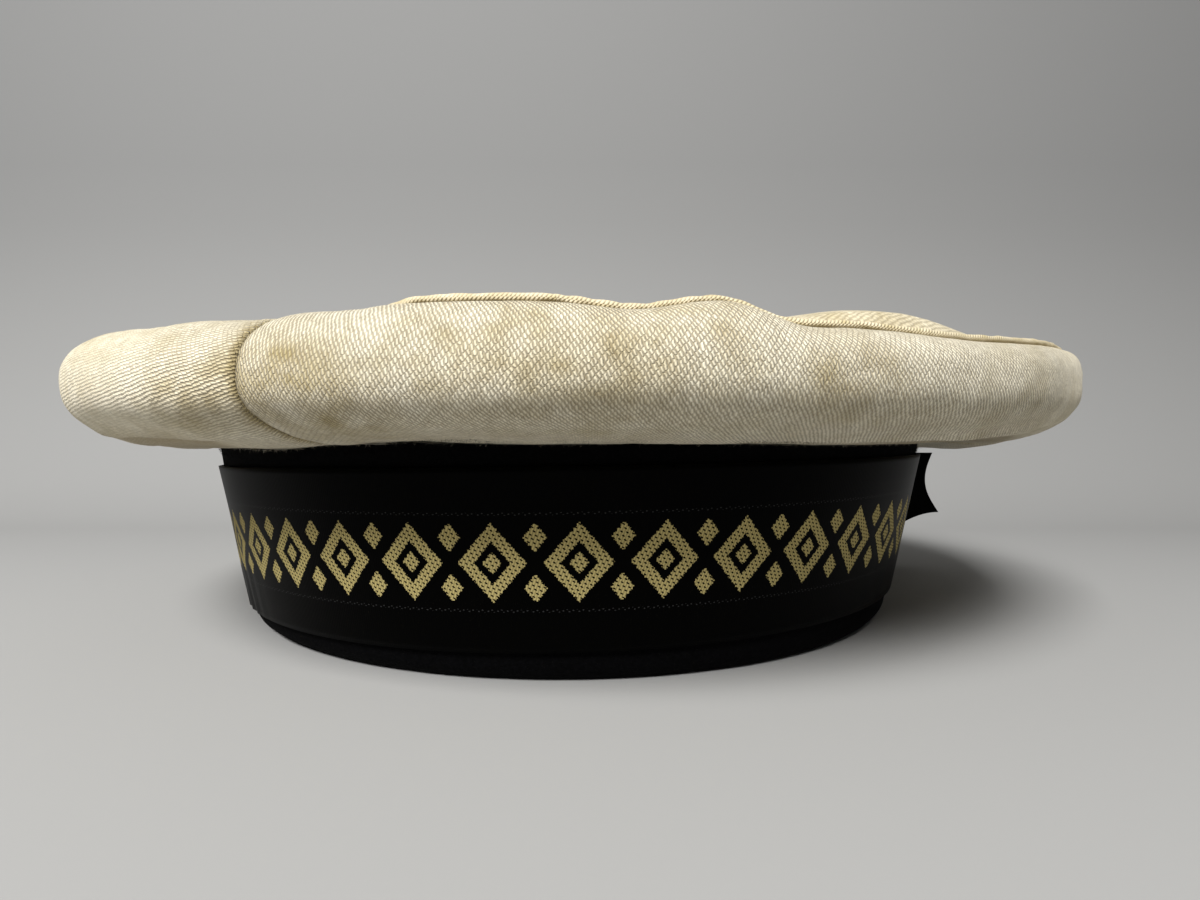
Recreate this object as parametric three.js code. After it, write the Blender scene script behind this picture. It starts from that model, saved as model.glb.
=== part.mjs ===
import * as THREE from "three";

// Sailor cap lying on its headband. Millimetres, +Z up, -Y towards the front of the cap.
// The origin is the centre of the head opening, on the plane that the cap rests on.
// An azimuth is in degrees from the front (-Y) towards +X.

// Headband: a tapered ring of black wool cloth, narrowest at the edge that it rests on
const BAND_BASE_RADIUS = 91.2;
const BAND_TOP_RADIUS = 99.4;
const BAND_HEIGHT = 43.4;
const BAND_WALL = 3;
const BAND_OVAL_DEPTH = 1;
const BAND_EDGE_ROUND = 2.2;

// Tally ribbon: it starts under its own lap at the right rear, runs once round the band
// by the front, passes over its start and stands out in a cut free end
const RIBBON_WIDTH = 34.5;
const RIBBON_THICKNESS = 0.9;
const RIBBON_FOOT_HEIGHT = 6.2;
const RIBBON_TILT_HEIGHT = 1.6;
const RIBBON_LEAVES_AT = 132;
const RIBBON_LAP = 20;
const LAP_STARTS_BEFORE = 11;
const LAP_CLEAR_BEFORE = 3;
const TAIL_LENGTH = 75;
const TAIL_CURL = 47;
const TAIL_UPRIGHT_AT = 0.7;
const TAIL_CUT_FROM = 0.68;
const TAIL_CUT_HEIGHT = 11.5;

// Crown: a soft plate of cotton twill, sewn to the top edge of the band
const CROWN_RADIUS = 131;
const CROWN_DEPTH = 20;
const CROWN_WALL = 1.2;
const CROWN_SHIFT = 2;
const SHIFT_DONE_AT = 0.88;
const PANEL_COUNT = 4;
const FIRST_SEAM = -19.8;
const SEAM_TUCK_DEPTH = 0.9;
const SEAM_ROLL = 1.6;
const UNDER_FULLNESS = 2.8;
const PIPING_DIAMETER = 1.4;
const TOP_DOME_HEIGHT = 4;
const TOP_FULLNESS = 4;
const TOP_CALM_MIDDLE = 0.3;
const TOP_CALM_EDGE = 0.96;

// Loose cloth never touches its neighbour: every seam keeps this clearance
const CLEARANCE = 0.3;

// Sections of the side panels, one row for each azimuth. rim, crest and welt are reaches as
// shares of CROWN_RADIUS; rimRise, crestRise, weltRise and sag are shares of CROWN_DEPTH above
// the top of the band. sag is where the underside hangs between the band and the rim.
const SECTION_COLUMNS = ["azimuth", "rim", "rimRise", "crest", "crestRise", "welt", "weltRise", "sag"];
const SECTIONS = [
  [-140, 0.998, 0.60, 0.942, 0.930, 0.915, 0.900, -0.02],
  [-100, 0.996, 0.65, 0.937, 0.980, 0.910, 0.920, -0.05],
  [-62, 0.998, 0.68, 0.935, 1.040, 0.905, 0.940, -0.07],
  [-46, 1.000, 0.63, 0.930, 1.045, 0.900, 0.930, -0.06],
  [-30, 1.000, 0.53, 0.922, 0.985, 0.895, 0.890, -0.05],
  [-20, 1.002, 0.49, 0.915, 0.980, 0.890, 0.910, -0.03],
  [-10, 1.000, 0.53, 0.935, 0.985, 0.925, 0.985, 0.02],
  [2, 1.000, 0.55, 0.943, 0.970, 0.931, 0.960, 0.01],
  [14, 1.000, 0.55, 0.951, 0.885, 0.939, 0.875, 0.01],
  [30, 1.000, 0.58, 0.963, 0.825, 0.952, 0.815, 0.01],
  [46, 0.998, 0.64, 0.972, 0.920, 0.962, 0.910, 0.01],
  [62, 0.998, 0.68, 0.975, 0.980, 0.965, 0.970, -0.03],
  [95, 0.996, 0.62, 0.960, 0.940, 0.945, 0.920, -0.06],
  [140, 0.998, 0.58, 0.950, 0.920, 0.930, 0.890, -0.02],
  [180, 0.996, 0.60, 0.946, 0.940, 0.925, 0.910, -0.01],
].map((row) => Object.fromEntries(SECTION_COLUMNS.map((name, column) => [name, row[column]])));

// Short waves of the welt: rise is a share of CROWN_DEPTH, spread is in degrees
const WELT_RIPPLES = [
  { azimuth: 4.5, rise: -0.045, spread: 2.2 },
  { azimuth: 11, rise: 0.08, spread: 2.4 },
  { azimuth: 15.5, rise: -0.045, spread: 2.4 },
];

// Folds and pillows of the slack top panel: reach is a share of the top's own radius,
// rise a share of CROWN_DEPTH, spread is in degrees and width a share of the radius
const TOP_FOLDS = [
  { azimuth: 28, reach: 0.93, rise: 0.22, spread: 7, width: 0.07 },
  { azimuth: -35, reach: 0.6, rise: 0.09, spread: 26, width: 0.2 },
  { azimuth: 75, reach: 0.7, rise: -0.09, spread: 16, width: 0.2 },
  { azimuth: 130, reach: 0.65, rise: 0.08, spread: 22, width: 0.22 },
  { azimuth: -170, reach: 0.7, rise: -0.08, spread: 20, width: 0.2 },
  { azimuth: -105, reach: 0.75, rise: 0.07, spread: 18, width: 0.18 },
];

// Fineness of the meshes
const COLUMNS_PER_PANEL = 28;
const UNDER_STEPS = 6;
const OVER_STEPS = 4;
const CREST_STEPS = 1;
const TOP_RINGS = 5;
const PIPING_SIDES = 6;
const BAND_COLUMNS = 72;
const BAND_EDGE_STEPS = 2;
const RIBBON_STEP = 4;
const TAIL_STEPS = 10;

const CROWN_BASE = BAND_HEIGHT + CLEARANCE;
const PIPING_RADIUS = PIPING_DIAMETER / 2;

const toRadians = THREE.MathUtils.degToRad;

// Point at an azimuth, a radius from the cap's axis and a height
function around(azimuth, radius, height) {
  const angle = toRadians(azimuth);
  return new THREE.Vector3(radius * Math.sin(angle), -radius * Math.cos(angle), height);
}

// Smallest signed difference between two azimuths
function turnBetween(from, to) {
  return THREE.MathUtils.euclideanModulo(to - from + 180, 360) - 180;
}

// Value of one column of SECTIONS at any azimuth, as a smooth closed curve through its rows
function sectionValue(azimuth, column) {
  const rows = SECTIONS.length;
  const turn = THREE.MathUtils.euclideanModulo(azimuth - SECTIONS[0].azimuth, 360);
  const start = (row) => SECTIONS[row].azimuth - SECTIONS[0].azimuth;
  let row = rows - 1;
  while (start(row) > turn) row -= 1;
  const value = (offset) => SECTIONS[(row + offset + rows) % rows][column];
  const gap = (offset) => {
    const here = SECTIONS[(row + offset + rows) % rows].azimuth;
    const next = SECTIONS[(row + offset + 1 + rows) % rows].azimuth;
    return THREE.MathUtils.euclideanModulo(next - here, 360);
  };
  const span = gap(0);
  const slopeIn = (value(1) - value(-1)) / (gap(-1) + span);
  const slopeOut = (value(2) - value(0)) / (span + gap(1));
  const t = (turn - start(row)) / span;
  const t2 = t * t;
  const t3 = t2 * t;
  return (2 * t3 - 3 * t2 + 1) * value(0) + (t3 - 2 * t2 + t) * span * slopeIn
    + (3 * t2 - 2 * t3) * value(1) + (t3 - t2) * span * slopeOut;
}

function bell(distance, spread) {
  return Math.exp(-0.5 * (distance / spread) ** 2);
}

// Reach and height of the seam between the side panels and the top
function welt(azimuth) {
  const ripple = WELT_RIPPLES.reduce(
    (sum, wave) => sum + wave.rise * bell(turnBetween(wave.azimuth, azimuth), wave.spread), 0);
  return {
    reach: CROWN_RADIUS * sectionValue(azimuth, "welt"),
    height: CROWN_BASE + CROWN_DEPTH * (sectionValue(azimuth, "weltRise") + ripple),
    ripple: CROWN_DEPTH * ripple,
  };
}

// Outline of the side panels at one azimuth as reach and height pairs, from the edge that is
// sewn flat on the band, out along the underside, round the rim and over the crest to the welt
function sideOutline(azimuth) {
  const inner = BAND_TOP_RADIUS - BAND_WALL;
  const free = BAND_TOP_RADIUS + CLEARANCE;
  const rim = CROWN_RADIUS * sectionValue(azimuth, "rim");
  const rimHeight = CROWN_BASE + CROWN_DEPTH * sectionValue(azimuth, "rimRise");
  const crest = CROWN_RADIUS * sectionValue(azimuth, "crest");
  const seam = welt(azimuth);
  const crestHeight = CROWN_BASE + CROWN_DEPTH * sectionValue(azimuth, "crestRise") + seam.ripple;
  const sag = CROWN_DEPTH * sectionValue(azimuth, "sag");
  const outline = [new THREE.Vector2(inner, CROWN_BASE)];
  for (let step = 0; step < UNDER_STEPS; step += 1) {
    const angle = (step / UNDER_STEPS) * Math.PI / 2;
    const along = Math.sin(angle) ** (2 / UNDER_FULLNESS);
    const down = Math.cos(angle) ** (2 / UNDER_FULLNESS);
    const height = rimHeight - (rimHeight - CROWN_BASE) * down + sag * Math.sin(Math.PI * along) ** 2;
    outline.push(new THREE.Vector2(free + (rim - free) * along, height));
  }
  for (let step = 0; step < OVER_STEPS; step += 1) {
    const angle = (step / OVER_STEPS) * Math.PI / 2;
    const reach = crest + (rim - crest) * Math.cos(angle);
    outline.push(new THREE.Vector2(reach, rimHeight + (crestHeight - rimHeight) * Math.sin(angle)));
  }
  for (let step = 0; step <= CREST_STEPS; step += 1) {
    const t = step / CREST_STEPS;
    const reach = THREE.MathUtils.lerp(crest, seam.reach + CLEARANCE / 2, t);
    outline.push(new THREE.Vector2(reach, THREE.MathUtils.lerp(crestHeight, seam.height, t * t)));
  }
  return outline;
}

// The same outline moved along its own normal: positive is out of the cloth
function offsetOutline(outline, distance) {
  return outline.map((point, index) => {
    const before = outline[Math.max(index - 1, 0)];
    const after = outline[Math.min(index + 1, outline.length - 1)];
    const along = after.clone().sub(before).normalize();
    return new THREE.Vector2(point.x + along.y * distance, point.y - along.x * distance);
  });
}

// The crown sits a little to one side of the band: the shift grows along the underside
function crownPoint(azimuth, reach, height) {
  const inner = BAND_TOP_RADIUS - BAND_WALL;
  const point = around(azimuth, reach, height);
  point.x += CROWN_SHIFT * THREE.MathUtils.smoothstep(reach, inner, SHIFT_DONE_AT * CROWN_RADIUS);
  return point;
}

// Closed body through a row of section loops, either joined round or capped at both ends.
// A loop runs out along one face of the piece and back along the other.
function sweptBody(loops, closed) {
  const size = loops[0].length;
  const points = loops.flat();
  const indices = [];
  const triangle = (a, b, c) => {
    const flat = points[a].distanceTo(points[b]) < 1e-6 || points[b].distanceTo(points[c]) < 1e-6
      || points[c].distanceTo(points[a]) < 1e-6;
    if (!flat) indices.push(a, b, c);
  };
  const quad = (a, b, c, d) => {
    triangle(a, b, c);
    triangle(a, c, d);
  };
  const last = closed ? loops.length : loops.length - 1;
  for (let loop = 0; loop < last; loop += 1) {
    const here = loop * size;
    const next = ((loop + 1) % loops.length) * size;
    for (let i = 0; i < size; i += 1) {
      const j = (i + 1) % size;
      quad(here + i, next + i, next + j, here + j);
    }
  }
  if (!closed) {
    const end = (loops.length - 1) * size;
    for (let i = 0; i < size / 2 - 1; i += 1) {
      quad(i, i + 1, size - 2 - i, size - 1 - i);
      quad(end + i, end + size - 1 - i, end + size - 2 - i, end + i + 1);
    }
  }
  const geometry = new THREE.BufferGeometry().setFromPoints(points);
  geometry.setIndex(indices);
  geometry.computeVertexNormals();
  return geometry;
}

// Azimuths of one panel's columns from its first seam, with a close pair at each seam
function panelTurns() {
  const span = 360 / PANEL_COUNT;
  const turns = [0, SEAM_ROLL];
  for (let column = 1; column < COLUMNS_PER_PANEL; column += 1) {
    turns.push(span * column / COLUMNS_PER_PANEL);
  }
  turns.push(span - SEAM_ROLL, span);
  return turns;
}

// One quarter panel: its edges roll in at the seams, where the pull of the thread shows
function sidePanel(panel) {
  const start = FIRST_SEAM + panel * 360 / PANEL_COUNT;
  const turns = panelTurns();
  const loops = turns.map((turn, column) => {
    const outline = sideOutline(start + turn);
    const first = column === 0;
    const edge = first || column === turns.length - 1;
    const tuck = edge ? -SEAM_TUCK_DEPTH : 0;
    const outer = offsetOutline(outline, tuck);
    const inner = offsetOutline(outline, tuck - CROWN_WALL).reverse();
    return outer.concat(inner).map((point) => {
      const parting = edge ? THREE.MathUtils.radToDeg(CLEARANCE / 2 / point.x) : 0;
      return crownPoint(start + turn + (first ? parting : -parting), point.x, point.y);
    });
  });
  return sweptBody(loops, false);
}

// Azimuths of the columns all round the welt
function ringAzimuths() {
  const azimuths = [];
  for (let panel = 0; panel < PANEL_COUNT; panel += 1) {
    const start = FIRST_SEAM + panel * 360 / PANEL_COUNT;
    panelTurns().slice(0, -1).forEach((turn) => azimuths.push(start + turn));
  }
  return azimuths;
}

// Height of the top panel above its own edge, at a share of its radius
function topRise(azimuth, share) {
  const dome = TOP_DOME_HEIGHT * (1 - share ** TOP_FULLNESS);
  const folds = TOP_FOLDS.reduce((sum, fold) => {
    const turn = bell(turnBetween(fold.azimuth, azimuth), fold.spread);
    return sum + CROWN_DEPTH * fold.rise * turn * bell(share - fold.reach, fold.width);
  }, 0);
  const middle = THREE.MathUtils.smoothstep(share, 0, TOP_CALM_MIDDLE);
  const edge = 1 - THREE.MathUtils.smoothstep(share, TOP_CALM_EDGE, 1);
  return dome + folds * middle * edge;
}

// Round top panel, from its centre out to the welt and back along its lower face
function topPanel() {
  const azimuths = ringAzimuths();
  const heights = azimuths.map((azimuth) => welt(azimuth).height);
  const middle = heights.reduce((sum, height) => sum + height, 0) / heights.length;
  const loops = azimuths.map((azimuth) => {
    const seam = welt(azimuth);
    const radius = seam.reach - CLEARANCE / 2;
    const upper = [];
    for (let ring = 0; ring <= TOP_RINGS; ring += 1) {
      const share = Math.sin((ring / TOP_RINGS) * Math.PI / 2);
      const level = THREE.MathUtils.lerp(middle, seam.height, share * share);
      const point = around(azimuth, radius * share, level + topRise(azimuth, share));
      point.x += CROWN_SHIFT;
      upper.push(point);
    }
    const lower = upper.map((point) => point.clone().setZ(point.z - CROWN_WALL));
    return upper.reverse().concat(lower);
  });
  return sweptBody(loops, true);
}

// Piping: a covered cord that stands on the seam between the side panels and the top
function pipingRing() {
  const loops = ringAzimuths().map((azimuth) => {
    const seam = welt(azimuth);
    const loop = [];
    for (let side = 0; side < PIPING_SIDES; side += 1) {
      const angle = (side / PIPING_SIDES) * 2 * Math.PI;
      const reach = seam.reach + PIPING_RADIUS * Math.cos(angle);
      const rise = CLEARANCE + PIPING_RADIUS * (1 + Math.sin(angle));
      loop.push(crownPoint(azimuth, reach, seam.height + rise));
    }
    return loop;
  });
  return sweptBody(loops, true);
}

// Outer radius of the headband at an azimuth and a height: round at the top, and an oval
// at the base that is longer from front to back, as a head is
function bandRadius(azimuth, height) {
  const oval = BAND_OVAL_DEPTH * Math.cos(2 * toRadians(azimuth));
  return THREE.MathUtils.lerp(BAND_BASE_RADIUS + oval, BAND_TOP_RADIUS, height / BAND_HEIGHT);
}

// Headband, with a soft outer edge below that leaves a flat ring to rest on
function headbandRing() {
  const loops = [];
  for (let column = 0; column < BAND_COLUMNS; column += 1) {
    const azimuth = 360 * column / BAND_COLUMNS;
    const loop = [
      around(azimuth, BAND_TOP_RADIUS - BAND_WALL, BAND_HEIGHT),
      around(azimuth, bandRadius(azimuth, 0) - BAND_WALL, 0),
    ];
    for (let step = 0; step <= BAND_EDGE_STEPS; step += 1) {
      const angle = (step / BAND_EDGE_STEPS) * Math.PI / 2;
      const height = BAND_EDGE_ROUND * (1 - Math.cos(angle));
      const inset = BAND_EDGE_ROUND * (1 - Math.sin(angle));
      loop.push(around(azimuth, bandRadius(azimuth, height) - inset, height));
    }
    loop.push(around(azimuth, BAND_TOP_RADIUS, BAND_HEIGHT));
    loops.push(loop);
  }
  return sweptBody(loops, true);
}

// One section of the ribbon: foot and head are plan points of its inner face,
// outward is the plan direction that the face looks in
function ribbonLoop(foot, head, outward, low, high) {
  const corner = (plan, depth, height) => new THREE.Vector3(
    plan.x + outward.x * depth, plan.y + outward.y * depth, height);
  return [
    corner(foot, RIBBON_THICKNESS, low),
    corner(head, RIBBON_THICKNESS, high),
    corner(head, 0, high),
    corner(foot, 0, low),
  ];
}

// Heights of the ribbon's two edges at an azimuth: it sits a little higher on one side
function ribbonEdges(azimuth) {
  const slant = Math.atan2(BAND_TOP_RADIUS - BAND_BASE_RADIUS, BAND_HEIGHT);
  const low = RIBBON_FOOT_HEIGHT + RIBBON_TILT_HEIGHT * Math.sin(toRadians(azimuth));
  return { low, high: low + RIBBON_WIDTH * Math.cos(slant) };
}

// Ribbon round the band, with its lap and free end, as one strip
function tallyRibbon() {
  const start = RIBBON_LEAVES_AT + RIBBON_LAP;
  const travel = 360 + RIBBON_LAP;
  const steps = Math.round(travel / RIBBON_STEP);
  const loops = [];
  for (let step = 0; step <= steps; step += 1) {
    const done = travel * step / steps;
    const azimuth = start - done;
    const over = THREE.MathUtils.smoothstep(done, 360 - LAP_STARTS_BEFORE, 360 - LAP_CLEAR_BEFORE);
    const lift = CLEARANCE + over * (RIBBON_THICKNESS + CLEARANCE);
    const { low, high } = ribbonEdges(azimuth);
    const foot = around(azimuth, bandRadius(azimuth, low) + lift, 0);
    const head = around(azimuth, bandRadius(azimuth, high) + lift, 0);
    loops.push(ribbonLoop(foot, head, around(azimuth, 1, 0), low, high));
  }
  return sweptBody(loops.concat(ribbonTail()).reverse(), false);
}

// Free end: it leaves the band along its tangent, curls outward and is cut at a slant
function ribbonTail() {
  const { low, high } = ribbonEdges(RIBBON_LEAVES_AT);
  const lift = 2 * CLEARANCE + RIBBON_THICKNESS;
  const footRadius = bandRadius(RIBBON_LEAVES_AT, low);
  const headRadius = bandRadius(RIBBON_LEAVES_AT, high);
  const middle = (footRadius + headRadius) / 2 + lift;
  const lean = (headRadius - footRadius) / 2;
  const leaves = around(RIBBON_LEAVES_AT, middle, 0);
  const tangent = around(RIBBON_LEAVES_AT - 90, 1, 0);
  const curl = toRadians(TAIL_CURL);
  const turned = tangent.clone().applyAxisAngle(new THREE.Vector3(0, 0, 1), curl);
  const bend = leaves.clone().addScaledVector(tangent, TAIL_LENGTH / 2);
  const tip = bend.clone().addScaledVector(turned, TAIL_LENGTH / 2);
  const path = new THREE.QuadraticBezierCurve3(leaves, bend, tip);
  const loops = [];
  for (let step = 1; step <= TAIL_STEPS; step += 1) {
    const t = step / TAIL_STEPS;
    const plan = path.getPoint(t);
    const heading = path.getTangent(t);
    const outward = new THREE.Vector3(-heading.y, heading.x, 0);
    const fade = 1 - THREE.MathUtils.smoothstep(t, 0, TAIL_UPRIGHT_AT);
    const foot = plan.clone().addScaledVector(outward, -lean * fade);
    const head = plan.clone().addScaledVector(outward, lean * fade);
    const along = THREE.MathUtils.clamp((t - TAIL_CUT_FROM) / (1 - TAIL_CUT_FROM), 0, 1);
    const cut = TAIL_CUT_HEIGHT * Math.sin(along * Math.PI / 2);
    loops.push(ribbonLoop(foot, head, outward, low + cut, high));
  }
  return loops;
}

function cloth(color, roughness) {
  return new THREE.MeshStandardMaterial({ color, roughness, metalness: 0 });
}

const cap = new THREE.Group();

function addPiece(name, geometry, material) {
  const mesh = new THREE.Mesh(geometry, material);
  mesh.name = name;
  cap.add(mesh);
}

addPiece("headband", headbandRing(), cloth(0x0c0c10, 0.95));
addPiece("tally_ribbon", tallyRibbon(), cloth(0x101014, 0.6));
["front", "right", "back", "left"].forEach((side, panel) => {
  addPiece(`side_panel_${side}`, sidePanel(panel), cloth(0xd9cfae, 0.85));
});
addPiece("crown_top", topPanel(), cloth(0xddd2af, 0.85));
addPiece("piping", pipingRing(), cloth(0xcdbb8c, 0.85));

export default cap;
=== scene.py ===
"""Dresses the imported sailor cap: fine cloth pieces over the CAD frame, with woven materials."""
import math

import bmesh
import bpy
import numpy as np
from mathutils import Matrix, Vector, noise


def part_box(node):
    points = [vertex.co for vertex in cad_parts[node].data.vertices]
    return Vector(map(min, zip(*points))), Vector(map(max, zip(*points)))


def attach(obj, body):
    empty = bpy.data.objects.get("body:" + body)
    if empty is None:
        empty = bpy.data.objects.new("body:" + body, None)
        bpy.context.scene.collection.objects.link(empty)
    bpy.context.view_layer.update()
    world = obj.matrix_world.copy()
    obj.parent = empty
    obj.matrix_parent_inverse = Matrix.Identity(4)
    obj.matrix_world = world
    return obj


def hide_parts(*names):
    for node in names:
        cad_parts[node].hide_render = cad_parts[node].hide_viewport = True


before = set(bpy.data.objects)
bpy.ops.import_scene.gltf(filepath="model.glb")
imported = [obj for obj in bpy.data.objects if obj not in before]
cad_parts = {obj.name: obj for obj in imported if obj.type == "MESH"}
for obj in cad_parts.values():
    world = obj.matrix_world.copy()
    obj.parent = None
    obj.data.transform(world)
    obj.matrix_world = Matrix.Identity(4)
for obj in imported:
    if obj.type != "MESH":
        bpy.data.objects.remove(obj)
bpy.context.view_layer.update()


# Camera: a small camera held close to the front of the cap, level, just at the top edge of the
# headband. The close stand is what makes the front of the crown look so much larger than its sides.
MM = 0.001
CAMERA_STAND = (8 * MM, -214 * MM, 43.4 * MM)
CAMERA_LENS = 19.95
CAMERA_NEAR = 0.01
HORIZON_SHIFT = -0.0025

camera = bpy.data.objects.new("camera", bpy.data.cameras.new("camera"))
camera.data.lens = CAMERA_LENS
camera.data.shift_y = HORIZON_SHIFT
camera.data.clip_start = CAMERA_NEAR
camera.location = CAMERA_STAND
camera.rotation_euler = (math.pi / 2, 0, 0)
bpy.context.scene.collection.objects.link(camera)
bpy.context.scene.camera = camera


# Floor and light: a pale sheet that sweeps up behind the cap, one wide soft light above it and
# a weak even light from all round, as in a room with a bright ceiling. Up the sweep the sheet
# turns darker, as painted shade where less of the light reaches.
FLOOR_COLOUR = (0.37, 0.367, 0.358)
# Painted shade: the sheet's colour further up the sweep, and the heights it darkens between
FLOOR_PAINTED_SHADE_COLOUR = (0.265, 0.264, 0.26)
PAINTED_SHADE_HEIGHTS = (0.02, 0.3)
FLOOR_WIDTH = 2.4
FLOOR_FRONT = -0.9
SWEEP_START = 0.14
SWEEP_RADIUS = 0.25
SWEEP_TOP = 1.2
SWEEP_STEPS = 24
SOFT_LIGHT = {"place": (-0.31, -0.9, 0.9), "aim": (0, -0.02, 0.04), "size": 0.5, "watts": 28.0}
ROOM_COLOUR = (1, 1, 0.99)
ROOM_LIGHT = 0.1


def add_node(tree, kind, inputs=None, **settings):
    """One node of a tree. Inputs maps a socket's name or index to a value or to another socket."""
    node = tree.nodes.new(kind)
    for name, value in settings.items():
        setattr(node, name, value)
    for key, value in (inputs or {}).items():
        if isinstance(value, bpy.types.NodeSocket):
            tree.links.new(value, node.inputs[key])
        else:
            node.inputs[key].default_value = value
    return node


def calc(tree, operation, *values):
    """Output of one Math node."""
    return add_node(tree, "ShaderNodeMath", dict(enumerate(values)), operation=operation).outputs[0]


def mix_colours(tree, share, first, second):
    """Colour between two colours or colour sockets, by a share from 0 to 1."""
    colours = [c if isinstance(c, bpy.types.NodeSocket) else (*c, 1) for c in (first, second)]
    mix = add_node(tree, "ShaderNodeMix", {0: share}, data_type="RGBA")
    for socket, colour in zip((mix.inputs[6], mix.inputs[7]), colours):
        if isinstance(colour, bpy.types.NodeSocket):
            tree.links.new(colour, socket)
        else:
            socket.default_value = colour
    return mix.outputs[2]


def new_surface(name, colour, roughness, specular):
    """A material with its own Principled shader, whose even values sit on the shader itself."""
    material = bpy.data.materials.new(name)
    material.use_nodes = True
    shader = material.node_tree.nodes["Principled BSDF"]
    shader.inputs["Base Color"].default_value = (*colour, 1)
    shader.inputs["Roughness"].default_value = roughness
    shader.inputs["Specular IOR Level"].default_value = specular
    material.diffuse_color = (*colour, 1)
    return material, material.node_tree, shader


def grid_mesh(name, points, closed_round, corner_uv=None, values=None):
    """A mesh through a grid of points, rows by columns, whose faces look along row cross column.

    closed_round joins the last column to the first, and any points that meet, such as a pole's.
    corner_uv places each point on the cut cloth, and values are numbers at each point, by name.
    """
    rows, columns = points.shape[:2]
    mesh = bpy.data.meshes.new(name)
    across = columns if closed_round else columns - 1
    row, column = np.meshgrid(np.arange(rows - 1), np.arange(across), indexing="ij")
    beside = (column + 1) % columns
    faces = np.stack([row * columns + column, row * columns + beside,
                      (row + 1) * columns + beside, (row + 1) * columns + column], axis=-1)
    faces = faces.reshape(-1, 4)
    mesh.from_pydata(points.reshape(-1, 3).tolist(), [], faces.tolist())
    if corner_uv is not None:
        layer = mesh.uv_layers.new(name="cut")
        ahead = column + 1
        corners = np.stack([corner_uv[row, column], corner_uv[row, ahead],
                            corner_uv[row + 1, ahead], corner_uv[row + 1, column]], axis=2)
        layer.data.foreach_set("uv", corners.reshape(-1).astype(np.float32))
    for value_name, value in (values or {}).items():
        layer = mesh.attributes.new(value_name, "FLOAT", "POINT")
        value = np.broadcast_to(value, points.shape[:2])
        layer.data.foreach_set("value", value.reshape(-1).astype(np.float32))
    # Rows that meet, and rows that shrink to a point, become one
    if closed_round:
        joined = bmesh.new()
        joined.from_mesh(mesh)
        bmesh.ops.remove_doubles(joined, verts=joined.verts, dist=1e-7)
        joined.to_mesh(mesh)
        joined.free()
    mesh.shade_smooth()
    mesh.update()
    return mesh


def place(name, mesh, material, slot=None):
    """Puts a mesh in the scene as one piece of the cap."""
    piece = bpy.data.objects.new(name, mesh)
    bpy.context.scene.collection.objects.link(piece)
    mesh.materials.append(material)
    if slot:
        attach(piece, "root")
    return piece


sweep = [(FLOOR_FRONT, 0.0), (SWEEP_START, 0.0)]
for step in range(1, SWEEP_STEPS + 1):
    angle = math.pi / 2 * step / SWEEP_STEPS
    sweep.append((SWEEP_START + SWEEP_RADIUS * math.sin(angle), SWEEP_RADIUS * (1 - math.cos(angle))))
sweep.append((SWEEP_START + SWEEP_RADIUS, SWEEP_TOP))
floor_points = np.array([[(side * FLOOR_WIDTH / 2, y, z) for side in (-1, 1)] for y, z in sweep])
floor_material, floor_tree, floor_shader = new_surface("pale_floor", FLOOR_COLOUR, 0.9, 0.1)
floor = place("floor", grid_mesh("floor", floor_points, False), floor_material)
# Painted shade: the sheet's colour darkens between two heights up the sweep
floor_place = add_node(floor_tree, "ShaderNodeSeparateXYZ",
                       {0: add_node(floor_tree, "ShaderNodeTexCoord").outputs["Object"]})
painted_shade_share = add_node(floor_tree, "ShaderNodeMapRange",
                     {0: floor_place.outputs[2], 1: PAINTED_SHADE_HEIGHTS[0], 2: PAINTED_SHADE_HEIGHTS[1]})
floor_tree.links.new(mix_colours(floor_tree, painted_shade_share.outputs[0], FLOOR_COLOUR, FLOOR_PAINTED_SHADE_COLOUR),
                     floor_shader.inputs["Base Color"])

lamp = bpy.data.objects.new("soft_light", bpy.data.lights.new("soft_light", "AREA"))
lamp.data.size = SOFT_LIGHT["size"]
lamp.data.energy = SOFT_LIGHT["watts"]
lamp.location = SOFT_LIGHT["place"]
lamp_axis = Vector(SOFT_LIGHT["place"]) - Vector(SOFT_LIGHT["aim"])
lamp.rotation_euler = lamp_axis.to_track_quat("Z", "Y").to_euler()
bpy.context.scene.collection.objects.link(lamp)
room = bpy.data.worlds.new("room")
room.use_nodes = True
room.node_tree.nodes["Background"].inputs["Color"].default_value = (*ROOM_COLOUR, 1)
room.node_tree.nodes["Background"].inputs["Strength"].default_value = ROOM_LIGHT
bpy.context.scene.world = room
bpy.context.scene.view_settings.view_transform = "Standard"


# Headband: a tapered ring of black wool cloth, the edge that the cap lies on turned under softly.
# Its nap stands up in short fibres where the crown is sewn to its top edge.
BAND_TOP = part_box("headband")[1].z / MM
BAND_TOP_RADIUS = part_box("headband")[1].x / MM
BAND_BASE_RADIUS = 91.2
BAND_WALL = 3.0
BAND_OVAL = 1.0
BAND_EDGE_ROUND = 3.4
BAND_WAVE_SIZE = 9
BAND_WAVE_HEIGHT = 0.12
WOOL_COLOUR = (0.001, 0.001, 0.0012)
WOOL_TONES = [(0.35, (0.0005, 0.0005, 0.0006)), (0.75, (0.003, 0.0029, 0.0034))]
NAP_DENSITY = 1.5e6
NAP_STRAND = {"length": 1.5, "thickness": 0.1, "bend": 0.6}
NAP_HEIGHTS = (-2.6, -0.2)
NAP_DEPTH = 0.1
STRAND_TAPER = 0.85

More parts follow.
